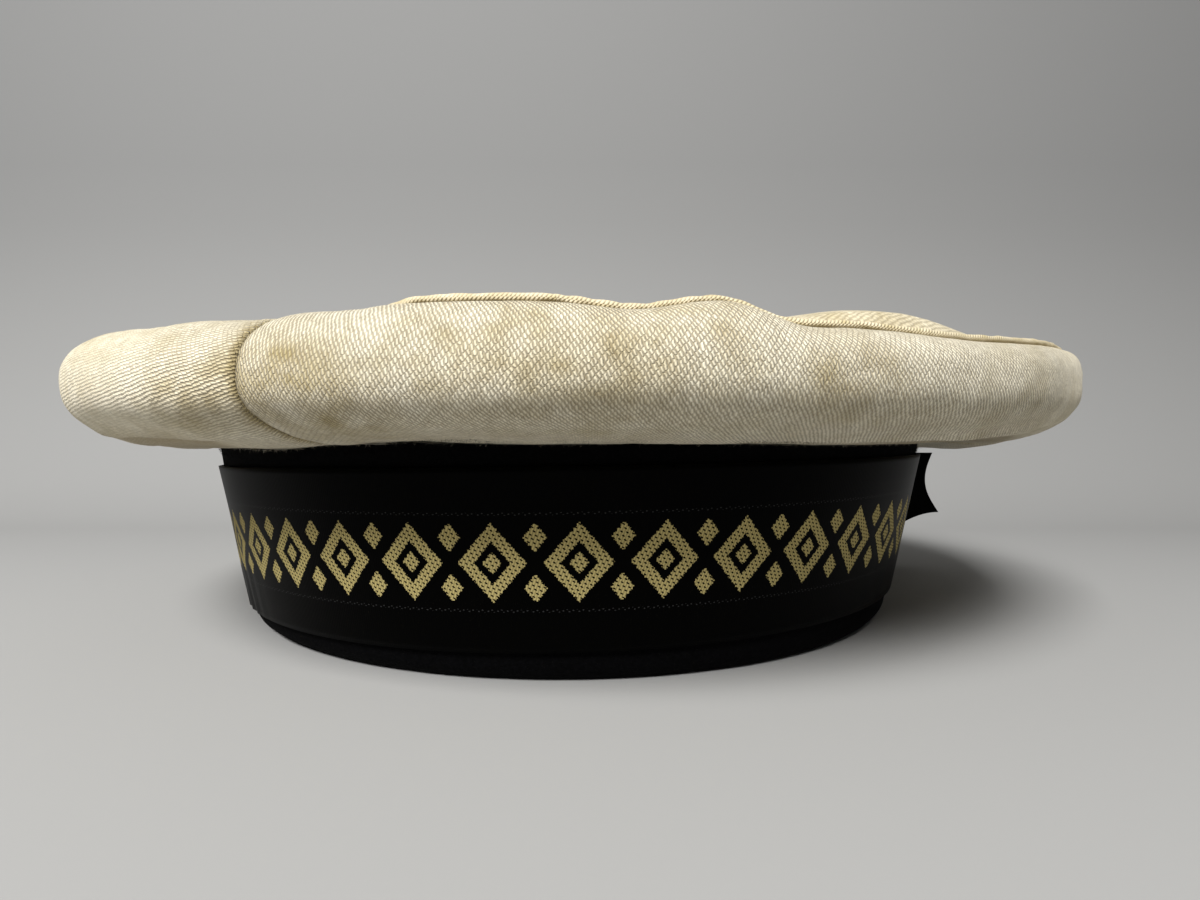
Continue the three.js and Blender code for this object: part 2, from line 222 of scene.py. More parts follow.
# The hem of the crown, sewn to the band: rows of azimuth and rise above the band's even height.
# The band's top follows it from HEM_REACH below. The band stays HEM_GAP under it, the crown over it.
HEM_LINE = [
    (-100, 1.5), (-64, 2.0), (-58, 1.6), (-53, 0.3), (-48, 0.0), (-40, -0.4), (-36, -0.7), (-31, -0.5),
    (-26, 0.25), (-22, 0.5), (-20, 0.4), (-15, 0.9), (-10, 0.7), (0, 0.45), (10, 0.85), (15, 0.75),
    (20, 0.55), (30, 0.4), (40, 0.6), (50, 0.8), (57, 1.3), (70, 1.0), (100, 0.5), (180, 0.3),
]
HEM_REACH = 6
HEM_GAP = 0.15


def around(azimuth, radius, height):
    """Points at azimuths in degrees from the front, radii and heights, all in millimetres."""
    angle = np.radians(azimuth)
    return np.stack(np.broadcast_arrays(radius * np.sin(angle), -radius * np.cos(angle), height), axis=-1)


def band_radius(azimuth, height):
    """Outer radius of the band: round at the top, and a head's oval at the base."""
    base = BAND_BASE_RADIUS + BAND_OVAL * np.cos(2 * np.radians(azimuth))
    return base + (BAND_TOP_RADIUS - base) * height / BAND_TOP


def smoothstep(value, low, high):
    """0 up to low, 1 from high on, and a smooth climb between."""
    share = np.clip((value - low) / (high - low), 0, 1)
    return share * share * (3 - 2 * share)


def turn_between(azimuth, other):
    """Degrees from the other azimuth to this one, by the shorter way, with a sign."""
    return (azimuth - other + 180) % 360 - 180


def bell(distance, spread):
    """1 at no distance, and less the further out, as a bell's outline falls."""
    return np.exp(-0.5 * (distance / spread) ** 2)


def hem_rise(azimuth):
    """How far the seam between band and crown stands above the band's even height."""
    at, rise = zip(*HEM_LINE)
    return np.interp(azimuth, at, rise, period=360)


def wander(points, size, seed, depth=2):
    """Smooth random numbers, about -1 to 1, at an array of points in millimetres."""
    flat = points.reshape(-1, 3)
    shift = Vector((17.3 * seed, 5.1 * seed, 9.7 * seed))
    values = [noise.fractal(Vector(p) / size + shift, 0.9, 2.0, depth) for p in flat.tolist()]
    return np.array(values).reshape(points.shape[:-1])


band_azimuths = np.arange(0, 360, 1.25)
# Down the inner face, round the lower edge, up the outer face and back across the top
band_profile = [(0.0, BAND_TOP * (1 - share)) for share in np.linspace(0, 1, 12)]
for angle in np.radians(np.linspace(0, 90, 8)):
    band_profile.append((BAND_WALL - BAND_EDGE_ROUND * (1 - math.sin(angle)),
                         BAND_EDGE_ROUND * (1 - math.cos(angle))))
for share in np.linspace(0.04, 1, 24):
    band_profile.append((BAND_WALL, BAND_EDGE_ROUND + (BAND_TOP - BAND_EDGE_ROUND) * share))
for share in np.linspace(0.1, 1, 8):
    band_profile.append((BAND_WALL * (1 - share), BAND_TOP))
band_depths = np.array([depth for depth, height in band_profile])[:, None]
band_heights = np.array([height for depth, height in band_profile])[:, None]
band_points = around(band_azimuths[None, :],
                     band_radius(band_azimuths[None, :], band_heights) - BAND_WALL + band_depths,
                     band_heights)
hem_share = smoothstep(band_heights, BAND_TOP - HEM_REACH, BAND_TOP)
band_points[..., 2] += hem_share * (hem_rise(band_azimuths) - HEM_GAP)
waves = wander(band_points, BAND_WAVE_SIZE, 1) * BAND_WAVE_HEIGHT
waves[(band_heights < 0.5).repeat(len(band_azimuths), axis=1)] = 0
band_points += around(band_azimuths[None, :], 1, 0) * waves[..., None]
wool, wool_tree, wool_shader = new_surface("black_wool", WOOL_COLOUR, 0.95, 0.04)
place_of_wool = add_node(wool_tree, "ShaderNodeTexCoord").outputs["Object"]
fibres = add_node(wool_tree, "ShaderNodeTexNoise",
                  {"Vector": place_of_wool, "Scale": 1400.0, "Detail": 6.0, "Roughness": 0.7})
felted = add_node(wool_tree, "ShaderNodeBump",
                  {"Height": fibres.outputs["Fac"], "Strength": 0.9, "Distance": 0.0004})
wool_tone = add_node(wool_tree, "ShaderNodeValToRGB", {"Fac": fibres.outputs["Fac"]})
for stop, (position, colour) in zip(wool_tone.color_ramp.elements, WOOL_TONES):
    stop.position = position
    stop.color = (*colour, 1)
wool_tree.links.new(wool_tone.outputs["Color"], wool_shader.inputs["Base Color"])
wool_tree.links.new(felted.outputs["Normal"], wool_shader.inputs["Normal"])
band_mesh = grid_mesh("headband_wool", band_points * MM, True)
headband = place("headband_wool", band_mesh, wool, "wool_cloth")
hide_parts("headband")


def scatter(name, bed, strand, density, tilt, size, seed):
    """Many copies of one strand on a bed of faces, each turned and sized at random, as one mesh."""
    tree = bpy.data.node_groups.new(name, "GeometryNodeTree")
    tree.interface.new_socket("Geometry", in_out="INPUT", socket_type="NodeSocketGeometry")
    tree.interface.new_socket("Geometry", in_out="OUTPUT", socket_type="NodeSocketGeometry")
    bed_in = add_node(tree, "NodeGroupInput")
    dots = add_node(tree, "GeometryNodeDistributePointsOnFaces",
                    {"Mesh": bed_in.outputs[0], "Density": density, "Seed": seed})
    turn = add_node(tree, "FunctionNodeRandomValue",
                    {0: (-tilt, -tilt, 0.0), 1: (tilt, tilt, 2 * math.pi), "Seed": seed + 1},
                    data_type="FLOAT_VECTOR")
    grow = add_node(tree, "FunctionNodeRandomValue", {2: size[0], 3: size[1], "Seed": seed + 2},
                    data_type="FLOAT")
    shape = add_node(tree, "GeometryNodeObjectInfo", {0: strand}).outputs["Geometry"]
    copies = add_node(tree, "GeometryNodeInstanceOnPoints",
                      {"Points": dots.outputs[0], "Instance": shape,
                       "Rotation": turn.outputs[0], "Scale": grow.outputs[1]})
    real = add_node(tree, "GeometryNodeRealizeInstances", {0: copies.outputs[0]})
    dressed = add_node(tree, "GeometryNodeSetMaterial",
                       {0: real.outputs[0], "Material": strand.data.materials[0]})
    add_node(tree, "NodeGroupOutput", {0: dressed.outputs[0]})
    carrier = bpy.data.objects.new(name + "_bed", bed)
    bpy.context.scene.collection.objects.link(carrier)
    carrier.modifiers.new("scatter", "NODES").node_group = tree
    ready = carrier.evaluated_get(bpy.context.evaluated_depsgraph_get())
    mesh = bpy.data.meshes.new_from_object(ready)
    mesh.name = name
    carrier.modifiers.clear()
    bpy.data.objects.remove(carrier)
    return mesh


def strand_of(name, length, thickness, bend, material):
    """One fibre: a thin three-sided strand that stands up from the origin and bends over."""
    steps = np.linspace(0, 1, 4)[:, None]
    turns = np.radians([0, 120, 240])[None, :]
    width = thickness / 2 * (1 - STRAND_TAPER * steps)
    points = np.stack(np.broadcast_arrays(width * np.cos(turns) + bend * steps**2, width * np.sin(turns),
                                          length * steps), axis=-1)
    strand = bpy.data.objects.new(name, grid_mesh(name, points * MM, True))
    strand.data.materials.append(material)
    return strand


nap_azimuths = np.arange(0, 360, 1.0)
nap_heights = BAND_TOP + hem_rise(nap_azimuths)[None, :] + np.array(NAP_HEIGHTS)[:, None]
nap_points = around(nap_azimuths[None, :], BAND_TOP_RADIUS - NAP_DEPTH, nap_heights)
nap_bed = grid_mesh("nap_bed", nap_points * MM, True)
nap_strand = strand_of("nap_strand", **NAP_STRAND, material=wool)
nap_mesh = scatter("band_top_nap", nap_bed, nap_strand, NAP_DENSITY, tilt=0.9, size=(0.4, 1.0), seed=5)
place("band_top_nap", nap_mesh, wool, "wool_cloth")


# Tally ribbon: one strip of black woven ribbon with a gold ornament in its weave. It starts under
# its own lap at the right rear, runs round by the front and stands out in a cut free end.
RIBBON_WIDTH = 34.5
RIBBON_THICKNESS = 0.6
RIBBON_FACE = 0.8
RIBBON_LAY = 0.9
RIBBON_RADIUS = 96.0
RIBBON_FOOT = 6.2
RIBBON_TILT = 1.6
RIBBON_LEAVES_AT = 132
RIBBON_LAP = 20
TAIL_LENGTH = 75
TAIL_CURL = 47
TAIL_UPRIGHT_AT = 0.7
TAIL_CUT_FROM = 0.68
TAIL_CUT_HEIGHT = 11.5
TAIL_HOLLOW = 0.05
TAIL_TOP_SHORT = 0.03
CLEARANCE = 0.3
LAP_CLIMB = (349, 357)
SLACK_SIZE = 34
SLACK_HEIGHT = 0.35
WRINKLES = {"azimuth": -53, "spread": 4, "pitch": 3.6, "slant": 4, "height": 0.22, "fade": (0.05, 0.55)}
RIBBON_COLOUR = (0.0006, 0.0006, 0.0005)
RIBBON_ROUGHNESS = 0.38
RIB_PITCH = 0.5
RIB_HEIGHT = 0.06
GOLD_COLOUR = (0.58, 0.48, 0.2)
# Painted shade on the low parts of the gold strands
GOLD_PAINTED_SHADE = (0.2, 0.16, 0.06)
GOLD_ROUGHER = 0.3

# The gold ornament: a row of lozenge frames, each with a small lozenge inside, and a pair of them
# between two frames. Sizes are half widths and half heights. Threads step by GOLD_THREAD.
GOLD_THREAD = (0.3, 0.26)
ORNAMENT_CENTRE = 17.0
ORNAMENT_PITCH = 15.3
ORNAMENT_FROM = -66
ORNAMENT_COUNT = 14
FRAME_OUTSIDE = (6.2, 7.35)
FRAME_INSIDE = (3.3, 4.0)
HEART_SIZE = (1.7, 2.1)
PAIR_SIZE = (2.1, 2.7)
PAIR_RISE = 4.7
EDGE_ROW_RISE = 9.0
EDGE_ROW_WIDTH = 0.3
EDGE_ROW_COLOUR = (0.03, 0.03, 0.03)

# The weave's waves, as counts per millimetre along and up the ribbon
PIT_WAVES = [(1.081, 0.465), (-0.301, -1.395)]
STRAND_WAVE = (1.9, -0.6)
DOT_WAVES = [(1.1, 0.9), (-0.6, 1.7)]

slant = math.atan2(BAND_TOP_RADIUS - BAND_BASE_RADIUS, BAND_TOP)
face_depth = CLEARANCE + RIBBON_FACE
start = RIBBON_LEAVES_AT + RIBBON_LAP


def ribbon_edges(azimuth):
    """Heights of the ribbon's two edges: it sits a little higher on one side of the band."""
    low = RIBBON_FOOT + RIBBON_TILT * np.sin(np.radians(azimuth))
    return low, low + RIBBON_WIDTH * math.cos(slant)


def ribbon_face(foot, head, outward, up):
    """Points across the ribbon between its foot and head lines, with the slack of worn cloth."""
    points = foot[None] + (head - foot)[None] * up
    slack = wander(points, SLACK_SIZE, 5) * SLACK_HEIGHT * np.sin(np.pi * up[..., 0])
    turn = np.degrees(np.arctan2(points[..., 0], -points[..., 1]))
    wrinkle = np.sin(turn * 2 * math.pi / WRINKLES["pitch"] + WRINKLES["slant"] * up[..., 0])
    wrinkle *= bell(turn - WRINKLES["azimuth"], WRINKLES["spread"])
    slack += WRINKLES["height"] * wrinkle * (1 - smoothstep(up[..., 0], *WRINKLES["fade"]))
    return points + outward[None] * slack[..., None]


up = np.linspace(0, 1, 30)[:, None, None]
ring_azimuths = np.linspace(start, start - 360 - RIBBON_LAP, 420)
lap = smoothstep(start - ring_azimuths, *LAP_CLIMB) * (RIBBON_LAY + CLEARANCE)
low, high = ribbon_edges(ring_azimuths)
foot = around(ring_azimuths, band_radius(ring_azimuths, low) + face_depth + lap, low)
head = around(ring_azimuths, band_radius(ring_azimuths, high) + face_depth + lap, high)
ring = ribbon_face(foot, head, around(ring_azimuths, 1, 0), up)
ring_length = np.radians(ring_azimuths) * RIBBON_RADIUS

# The free end leaves the band along its tangent, curls outward and is cut at a hollow slant
tail_t = np.linspace(0, 1, 61)[1:]
leave_low, leave_high = ribbon_edges(RIBBON_LEAVES_AT)
foot_radius = band_radius(RIBBON_LEAVES_AT, leave_low)
head_radius = band_radius(RIBBON_LEAVES_AT, leave_high)
lean = (head_radius - foot_radius) / 2
leaves_radius = (foot_radius + head_radius) / 2 + face_depth + RIBBON_LAY + CLEARANCE
leaves = around(RIBBON_LEAVES_AT, leaves_radius, 0)
tangent = around(RIBBON_LEAVES_AT - 90, 1, 0)
curl = math.radians(TAIL_CURL)
turned = np.array([tangent[0] * math.cos(curl) - tangent[1] * math.sin(curl),
                   tangent[0] * math.sin(curl) + tangent[1] * math.cos(curl), 0])
up_line = up[..., 0]
cut = 1 - TAIL_HOLLOW * np.sin(np.pi * up_line) - TAIL_TOP_SHORT * up_line
t = (tail_t[None, :] * cut)[..., None]
plan = leaves + tangent * TAIL_LENGTH / 2 * (1 - (1 - t) ** 2) + turned * TAIL_LENGTH / 2 * t ** 2
heading = tangent * (1 - t) + turned * t
heading /= np.linalg.norm(heading, axis=-1, keepdims=True)
outward = np.stack([-heading[..., 1], heading[..., 0], 0 * heading[..., 0]], axis=-1)
leaning = lean * (1 - smoothstep(t, 0, TAIL_UPRIGHT_AT)) * (2 * up - 1)
slit = TAIL_CUT_HEIGHT * np.sin(np.clip((t - TAIL_CUT_FROM) / (1 - TAIL_CUT_FROM), 0, 1) * math.pi / 2)
tail = plan + outward * leaning
tail[..., 2] = (leave_low + slit * (1 - up) + (leave_high - leave_low) * up)[..., 0]
tail_length = ring_length[-1] - tail_t * TAIL_LENGTH
ribbon_points = np.concatenate([ring, tail], axis=1)[:, ::-1]
ribbon_lengths = np.concatenate([ring_length, tail_length])[::-1]
ribbon_uv = np.stack(np.broadcast_arrays(ribbon_lengths[None, :], RIBBON_WIDTH * up_line), axis=-1)


def uv_pair(tree):
    """The place on the cut cloth as a vector, and its two coordinates in millimetres, along and up."""
    uv = add_node(tree, "ShaderNodeUVMap", uv_map="cut").outputs["UV"]
    parts = add_node(tree, "ShaderNodeSeparateXYZ", {0: uv})
    return uv, parts.outputs[0], parts.outputs[1]


def add_wall(piece, thickness):
    """Gives a sheet of cloth its thickness, behind the face that it was made with."""
    wall = piece.modifiers.new("wall", "SOLIDIFY")
    wall.thickness = thickness * MM
    wall.offset = -1
    wall.use_even_offset = False


def lozenge(tree, across, up_from, half_size):
    """1 inside a lozenge, 0 outside."""
    reach = calc(tree, "ADD", calc(tree, "DIVIDE", calc(tree, "ABSOLUTE", across), half_size[0]),
                 calc(tree, "DIVIDE", calc(tree, "ABSOLUTE", up_from), half_size[1]))
    return calc(tree, "LESS_THAN", reach, 1.0)


def wave(tree, along, up, counts):
    """A cosine wave across the cloth, given by its counts per millimetre along and up."""
    turns = calc(tree, "MULTIPLY_ADD", along, counts[0], calc(tree, "MULTIPLY", up, counts[1]))
    return calc(tree, "COSINE", calc(tree, "MULTIPLY", turns, 2 * math.pi))


silk, silk_tree, silk_shader = new_surface("woven_black_and_gold", RIBBON_COLOUR, RIBBON_ROUGHNESS, 0.02)
_, silk_along, silk_up = uv_pair(silk_tree)
along_thread = calc(silk_tree, "SNAP", silk_along, GOLD_THREAD[0])
up_thread = calc(silk_tree, "SUBTRACT", silk_up, ORNAMENT_CENTRE)
up_thread = calc(silk_tree, "SNAP", up_thread, GOLD_THREAD[1])
ornament_from = math.radians(ORNAMENT_FROM) * RIBBON_RADIUS
cell = calc(silk_tree, "SUBTRACT", along_thread, ornament_from)
cell = calc(silk_tree, "DIVIDE", cell, ORNAMENT_PITCH)
cell_share = calc(silk_tree, "FRACT", cell)
across = calc(silk_tree, "MULTIPLY", calc(silk_tree, "SUBTRACT", cell_share, 0.5), ORNAMENT_PITCH)
beside = calc(silk_tree, "SUBTRACT", ORNAMENT_PITCH / 2, calc(silk_tree, "ABSOLUTE", across))
in_row = calc(silk_tree, "MULTIPLY", calc(silk_tree, "GREATER_THAN", cell, 0.0),
              calc(silk_tree, "LESS_THAN", cell, float(ORNAMENT_COUNT)))
frame_shape = calc(silk_tree, "SUBTRACT", lozenge(silk_tree, across, up_thread, FRAME_OUTSIDE),
                   lozenge(silk_tree, across, up_thread, FRAME_INSIDE))
heart_shape = lozenge(silk_tree, across, up_thread, HEART_SIZE)
pair_rise = calc(silk_tree, "SUBTRACT", calc(silk_tree, "ABSOLUTE", up_thread), PAIR_RISE)
pair_shape = lozenge(silk_tree, beside, pair_rise, PAIR_SIZE)
gold_shape = calc(silk_tree, "MAXIMUM", calc(silk_tree, "MAXIMUM", frame_shape, heart_shape), pair_shape)
gold_shape = calc(silk_tree, "MULTIPLY", gold_shape, in_row)
pit = calc(silk_tree, "ADD", *[wave(silk_tree, silk_along, silk_up, counts) for counts in PIT_WAVES])
pit = add_node(silk_tree, "ShaderNodeMapRange",
               {0: pit, 1: 0.65, 2: 1.3, 3: 0.0, 4: 1.0}, interpolation_type="SMOOTHSTEP").outputs[0]
strand = wave(silk_tree, silk_along, silk_up, STRAND_WAVE)
# Painted shade: the gold darkens along the low part of each strand's wave, the same wave that the bump
# raises
strand_tone = calc(silk_tree, "MULTIPLY_ADD", strand, 0.3, 0.7)
gold_cover = calc(silk_tree, "MULTIPLY", gold_shape, calc(silk_tree, "SUBTRACT", 1.0, pit))
gold_tone = mix_colours(silk_tree, strand_tone, GOLD_PAINTED_SHADE, GOLD_COLOUR)
edge_row = calc(silk_tree, "SUBTRACT", calc(silk_tree, "ABSOLUTE", up_thread), EDGE_ROW_RISE)
edge_row = calc(silk_tree, "LESS_THAN", calc(silk_tree, "ABSOLUTE", edge_row), EDGE_ROW_WIDTH)
dots = calc(silk_tree, "ADD", *[wave(silk_tree, silk_along, silk_up, counts) for counts in DOT_WAVES])
dots = calc(silk_tree, "GREATER_THAN", dots, 1.2)
dots = calc(silk_tree, "MULTIPLY", calc(silk_tree, "MULTIPLY", edge_row, in_row), dots)
plain_tone = mix_colours(silk_tree, dots, RIBBON_COLOUR, EDGE_ROW_COLOUR)
silk_tone = mix_colours(silk_tree, gold_cover, plain_tone, gold_tone)
silk_tree.links.new(silk_tone, silk_shader.inputs["Base Color"])
ribs = calc(silk_tree, "SINE", calc(silk_tree, "MULTIPLY", silk_along, 2 * math.pi / RIB_PITCH))
ribs = calc(silk_tree, "MULTIPLY", ribs,
            calc(silk_tree, "MULTIPLY_ADD", gold_shape, -RIB_HEIGHT, RIB_HEIGHT))
relief = calc(silk_tree, "ADD", ribs, calc(silk_tree, "MULTIPLY", gold_cover, 0.6))
gold_strand = calc(silk_tree, "MULTIPLY", strand, gold_shape)
relief = calc(silk_tree, "ADD", relief, calc(silk_tree, "MULTIPLY", gold_strand, 0.25))
woven = add_node(silk_tree, "ShaderNodeBump", {"Height": relief, "Strength": 0.7, "Distance": 0.12 * MM})
silk_tree.links.new(woven.outputs["Normal"], silk_shader.inputs["Normal"])
rough = calc(silk_tree, "MULTIPLY_ADD", gold_shape, GOLD_ROUGHER, RIBBON_ROUGHNESS)
silk_tree.links.new(rough, silk_shader.inputs["Roughness"])

tally_mesh = grid_mesh("tally_ribbon_cloth", ribbon_points * MM, False, ribbon_uv)
tally = place("tally_ribbon_cloth", tally_mesh, silk, "woven_ribbon")
add_wall(tally, RIBBON_THICKNESS)
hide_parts("tally_ribbon")


# Side panels: four quarter panels of aged white cotton twill, sewn to the top edge of the band.
# They run out along the underside, turn over the soft rim and end in the seam of the top.
CROWN_RADIUS = 131.0
CROWN_DEPTH = 20.0
CROWN_BASE = BAND_TOP + CLEARANCE
CROWN_SHIFT = 2.0
SHIFT_DONE_AT = 0.88
PANEL_NAMES = ("front", "right", "back", "left")
PANEL_SPAN = 360 / len(PANEL_NAMES)
FIRST_SEAM = -19.8
PANEL_WALL = 1.1
UNDER_FULLNESS = 2.8
HEM_WIDTH = 17.0
SECTION_COLUMNS = ("azimuth", "rim", "rim_rise", "crest", "crest_rise", "welt", "welt_rise", "sag")
SECTIONS = [
    (-140, 0.998, 0.60, 0.942, 0.930, 0.915, 0.900, -0.02),
    (-100, 0.996, 0.65, 0.937, 0.980, 0.910, 0.920, -0.05),
    (-62, 0.994, 0.68, 0.935, 1.040, 0.905, 0.940, -0.07),
    (-46, 0.9965, 0.63, 0.930, 1.045, 0.900, 0.930, -0.04),
    (-30, 1.000, 0.53, 0.922, 0.985, 0.895, 0.890, -0.035),
    (-20, 1.002, 0.49, 0.915, 0.980, 0.890, 0.910, -0.03),
    (-13, 1.000, 0.515, 0.925, 0.975, 0.908, 0.925, 0.0),
    (-9.5, 1.000, 0.53, 0.936, 0.980, 0.926, 0.975, 0.02),
    (2, 1.000, 0.55, 0.943, 0.970, 0.931, 0.960, 0.01),
    (14, 1.000, 0.55, 0.951, 0.885, 0.939, 0.875, 0.01),
    (30, 1.000, 0.58, 0.963, 0.825, 0.952, 0.815, 0.01),
    (46, 0.998, 0.64, 0.972, 0.920, 0.962, 0.910, 0.01),
    (62, 0.998, 0.68, 0.975, 0.980, 0.965, 0.970, -0.03),
    (95, 0.996, 0.62, 0.960, 0.940, 0.945, 0.920, -0.06),
    (140, 0.998, 0.58, 0.950, 0.920, 0.930, 0.890, -0.02),
    (180, 0.996, 0.60, 0.946, 0.940, 0.925, 0.910, -0.01),
]
# Azimuth, rise as a share of CROWN_DEPTH and spread of each short wave in the seam of the top
WELT_RIPPLES = [(4.5, -0.045, 2.2), (11, 0.08, 2.4), (15.5, -0.045, 2.4)]
PANEL_COLUMNS = 150
PANEL_ROWS = 84
UNDER_STEPS = 160
SHOULDER_STEPS = 60
RIM_ROW = UNDER_STEPS + 1
CREASE_PAST_RIM = 19
COTTON_COLOUR = (0.96, 0.89, 0.7)
# Yellow-brown of the stains, also used as painted shade on the left of the crown
STAIN_AND_SHADE_COLOUR = (0.5, 0.41, 0.21)
# Grey of grime and flecks, and of the painted shadows on the crown's underside
GRIME_AND_SHADE_COLOUR = (0.42, 0.35, 0.22)
# Painted shade in the gaps between the twill's threads
GAP_SHADE_COLOUR = (0.17, 0.12, 0.05)
PIPING_COLOUR = (0.74, 0.65, 0.46)
LINE_PITCH = 0.6
FLOAT_PITCH = 0.86
FLOAT_STEP = 0.25
FLOAT_LEAN = 0.2
TWILL_DEPTH = 0.24
TWILL_SHADE = 0.56
WORN_RIDGE = 0.62
WEAR_FLATTENS = 0.8
THREAD_ROUNDNESS = 6.0
LUSTRE = 0.2
CUT_RADIUS = 300.0
GRAIN = {"front": 131, "right": 30, "back": 120, "left": -4, "top": 40}
SEAM_DEPTH = 0.65
SEAM_ROLL = 1.1
GATHER_PITCH = 1.5
GATHER_DEPTH = 0.09
HEM_RAGGED = 0.14
HEM_FIRM = 8
TOP_EDGE_FIRM = 5
# Height, size and seed of the cloth's soft lumps
CLOTH_LUMPS = [(0.55, 24, 2), (0.14, 5, 3)]
# Stains, with painted shade mixed in on the left of the crown: azimuth, height as a share of CROWN_DEPTH,
# spread in degrees, spread in height and strength
STAINS_AND_SHADE = [
    (-16, 0.42, 2.8, 0.19, 0.75),
    (-23, 0.6, 4, 0.3, 0.2),
    (54, 0.6, 5, 0.4, 0.25),
    (1.5, 0.45, 4.5, 0.25, 0.6),
    (18.5, 0.38, 2.5, 0.22, 0.55),
    (-7.5, 0.45, 2.0, 0.2, 0.45),
    (8, 0.85, 4, 0.14, 0.35),
    (-3, 0.9, 3.0, 0.15, 0.3),
    (-24, 0.3, 3, 0.15, 0.5),
    (36, 0.45, 5, 0.25, 0.15),
    (-13, 0.12, 2.5, 0.1, 0.5),
    (-55, 0.75, 16, 0.6, 0.3),
]
# Azimuth, spread in degrees, reach, slant and depth of each crease in the underside
UNDER_CREASES = [(-40, 8, 122.5, -0.05, 1.8), (37, 9, 122.0, 0.5, 2.2)]
UNDERSIDE_ENDS = (48, 50)
# Where the twill is rubbed smooth: azimuths at the right and left, and heights over CROWN_BASE
WORN_RIGHT = (38, 50)
WORN_LEFT = (-38, -20)
WORN_LEFT_STRENGTH = 0.68
WORN_BELOW = (1, 7)
# Painted shadows in the underside's hollows: azimuth, spread in degrees, start, full, fading and end out
# from the hem, and strength
UNDER_PAINTED_SHADOWS = [(-49, 5.5, 3, 8, 24, 31, 1.0), (-34.5, 4, 9, 14, 25, 30, 0.7), (54, 10, 3, 8, 19, 24, 1.3)]
# Azimuth, spread in degrees, reach, spread in reach and height of each place that is pushed up
UNDER_LIFTS = [(58, 9, 116, 6.5, 1.4), (62, 6, 103, 6, 0.8), (-60, 7, 107, 6, 1.4), (-63, 6, 102, 5, 1.0)]


def section(azimuth, column):
    """One column of SECTIONS at any azimuths, as a smooth closed curve through its rows."""
    index = SECTION_COLUMNS.index(column)
    knots = np.array([row[0] for row in SECTIONS], float)
    values = np.array([row[index] for row in SECTIONS], float)
    count = len(knots)
    turn = (np.asarray(azimuth, float) - knots[0]) % 360
    starts = knots - knots[0]
    row = np.searchsorted(starts, turn, side="right") - 1
    gap = (np.roll(knots, -1) - knots) % 360
    before, after, beyond = (row - 1) % count, (row + 1) % count, (row + 2) % count
    span = gap[row]
    slope_in = (values[after] - values[before]) / (gap[before] + span)
    slope_out = (values[beyond] - values[row]) / (span + gap[after])
    t = (turn - starts[row]) / span
    return ((2 * t**3 - 3 * t**2 + 1) * values[row] + (t**3 - 2 * t**2 + t) * span * slope_in
            + (3 * t**2 - 2 * t**3) * values[after] + (t**3 - t**2) * span * slope_out)


def welt(azimuth):
    """Reach and height of the seam between the side panels and the top, and its short waves."""
    ripple = sum(rise * bell(turn_between(azimuth, at), spread) for at, rise, spread in WELT_RIPPLES)
    ripple = CROWN_DEPTH * ripple
    return (CROWN_RADIUS * section(azimuth, "welt"),
            CROWN_BASE + CROWN_DEPTH * section(azimuth, "welt_rise") + ripple, ripple)


def side_outline(azimuth):
    """Reach and height from the band out round the rim to the welt, evenly spaced along the cloth."""
    free = BAND_TOP_RADIUS + CLEARANCE
    rim = CROWN_RADIUS * section(azimuth, "rim")
    rim_height = CROWN_BASE + CROWN_DEPTH * section(azimuth, "rim_rise")
    crest = CROWN_RADIUS * section(azimuth, "crest")
    welt_reach, welt_height, ripple = welt(azimuth)
    crest_height = CROWN_BASE + CROWN_DEPTH * section(azimuth, "crest_rise") + ripple
    sag = CROWN_DEPTH * section(azimuth, "sag")
    reaches = [BAND_TOP_RADIUS - BAND_WALL + 0 * azimuth]
    heights = [CROWN_BASE + 0 * azimuth]
    for angle in np.linspace(0, math.pi / 2, UNDER_STEPS + 1)[:-1]:
        along = math.sin(angle) ** (2 / UNDER_FULLNESS)
        down = max(math.cos(angle), 0) ** (2 / UNDER_FULLNESS)
        reaches.append(free + (rim - free) * along)
        slump = sag * math.sin(math.pi * along) ** 2
        heights.append(rim_height - (rim_height - CROWN_BASE) * down + slump)
    for angle in np.linspace(0, math.pi / 2, SHOULDER_STEPS + 1)[:-1]:
        reaches.append(crest + (rim - crest) * math.cos(angle))
        heights.append(rim_height + (crest_height - rim_height) * math.sin(angle))
    for share in np.linspace(0, 1, 16):
        reaches.append(crest + (welt_reach + CLEARANCE / 2 - crest) * share)
        heights.append(crest_height + (welt_height - crest_height) * share**2)
    reaches, heights = np.array(reaches), np.array(heights)
    for at, spread, reach, slant_of, depth in UNDER_CREASES:
        from_crease = reaches - reach - slant_of * turn_between(azimuth, at)
        crease = bell(from_crease + 3.2, 1.5) - 0.5 * bell(from_crease - 0.2, 1.2)
        crease[RIM_ROW + CREASE_PAST_RIM:] = 0
        heights += depth * crease * bell(turn_between(azimuth, at), spread)
    for at, spread, reach, wide, lift in UNDER_LIFTS:
        raised = lift * bell(reaches - reach, wide) * bell(turn_between(azimuth, at), spread)
        above = slice(RIM_ROW + 1, None)
        raised[above] *= 1 - smoothstep(heights[above], rim_height, crest_height)
        heights += raised
    near_hem = 1 - smoothstep(reaches, free + 2, free + HEM_WIDTH)
    heights += (hem_rise(azimuth) - CLEARANCE + HEM_GAP) * near_hem
    steps = np.hypot(np.diff(reaches, axis=0), np.diff(heights, axis=0))
    length = np.concatenate([0 * reaches[:1], np.cumsum(steps, axis=0)])
    rim_length = length[RIM_ROW]
    even = np.linspace(0, 1, PANEL_ROWS)
    rows = []
    for column in range(reaches.shape[1]):
        wanted = even * length[-1, column]
        rows.append((np.interp(wanted, length[:, column], reaches[:, column]),
                     np.interp(wanted, length[:, column], heights[:, column]),
                     wanted - rim_length[column]))
    return [np.array(values).T for values in zip(*rows)]


